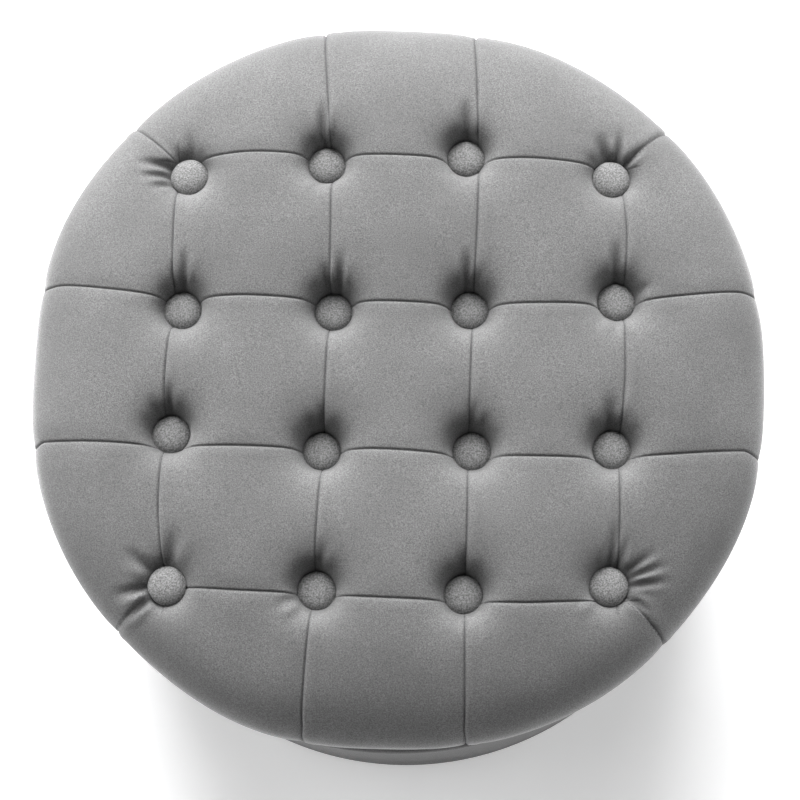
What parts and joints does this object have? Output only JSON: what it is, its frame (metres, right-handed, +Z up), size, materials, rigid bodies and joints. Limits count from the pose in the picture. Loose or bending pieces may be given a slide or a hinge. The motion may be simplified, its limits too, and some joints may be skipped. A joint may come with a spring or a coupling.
{
  "type": "storage ottoman",
  "caption": "Round velvet storage ottoman: an upholstered drum with a thick lift-off cushion lid, deep-buttoned in a square grid.",
  "frame": {"origin": "on the floor under the middle of the drum", "axes": "+Z up along the drum's axis, +Y to the back, button rows along X"},
  "size_m": [0.444, 0.444, 0.4],
  "materials": {
    "velvet": "short-pile polyester velvet",
    "button_velvet": "velvet drawn tight over a metal shell",
    "padding_foam": "open-cell foam sheet",
    "cushion_foam": "open-cell foam",
    "wadding": "polyester wadding",
    "plywood": "raw plywood",
    "batten_wood": "sawn softwood",
    "hardboard": "smooth hardboard",
    "cardboard": "grey-brown board",
    "lining": "embossed nonwoven",
    "dust_cloth": "black nonwoven",
    "twine": "waxed polyester twine",
    "staple_steel": "galvanised",
    "screw_steel": "yellow zinc",
    "washer_steel": "zinc plated",
    "button_steel": "zinc plated",
    "glide_plastic": "moulded polypropylene"
  },
  "bodies": {
    "drum": {"base_panel": "plywood", "base_ring": "plywood", "top_ring": "plywood", "wall_panel": "plywood", "post_1": "batten_wood", "post_2": "batten_wood", "post_3": "batten_wood", "post_4": "batten_wood", "post_5": "batten_wood", "post_6": "batten_wood", "drum_padding": "padding_foam", "drum_cover": "velvet", "liner_board": "cardboard", "liner_wall": "lining", "liner_staples": "staple_steel", "floor_insert": "hardboard", "dust_cover": "dust_cloth", "dust_cover_staples": "staple_steel", "base_screws": "screw_steel", "post_screws": "screw_steel", "glide_1": "glide_plastic", "glide_2": "glide_plastic", "glide_3": "glide_plastic", "glide_4": "glide_plastic", "glide_screws": "screw_steel"},
    "lid": {"lid_board": "plywood", "lid_foam": "cushion_foam", "lid_wadding": "wadding", "lid_cover": "velvet", "lid_cover_staples": "staple_steel", "tuft_twines": "twine", "twine_washers": "washer_steel", "button_backs": "button_steel", "button_1_1": "button_velvet", "button_1_2": "button_velvet", "button_1_3": "button_velvet", "button_1_4": "button_velvet", "button_2_1": "button_velvet", "button_2_2": "button_velvet", "button_2_3": "button_velvet", "button_2_4": "button_velvet", "button_3_1": "button_velvet", "button_3_2": "button_velvet", "button_3_3": "button_velvet", "button_3_4": "button_velvet", "button_4_1": "button_velvet", "button_4_2": "button_velvet", "button_4_3": "button_velvet", "button_4_4": "button_velvet", "locating_plate": "plywood", "plate_lining": "lining", "plate_screws": "screw_steel"}
  },
  "joints": [
    {"name": "lid_lift", "type": "slide", "parent": "drum", "child": "lid", "axis": [0, 0, 1], "range_m": [0, 0.3]}
  ]
}
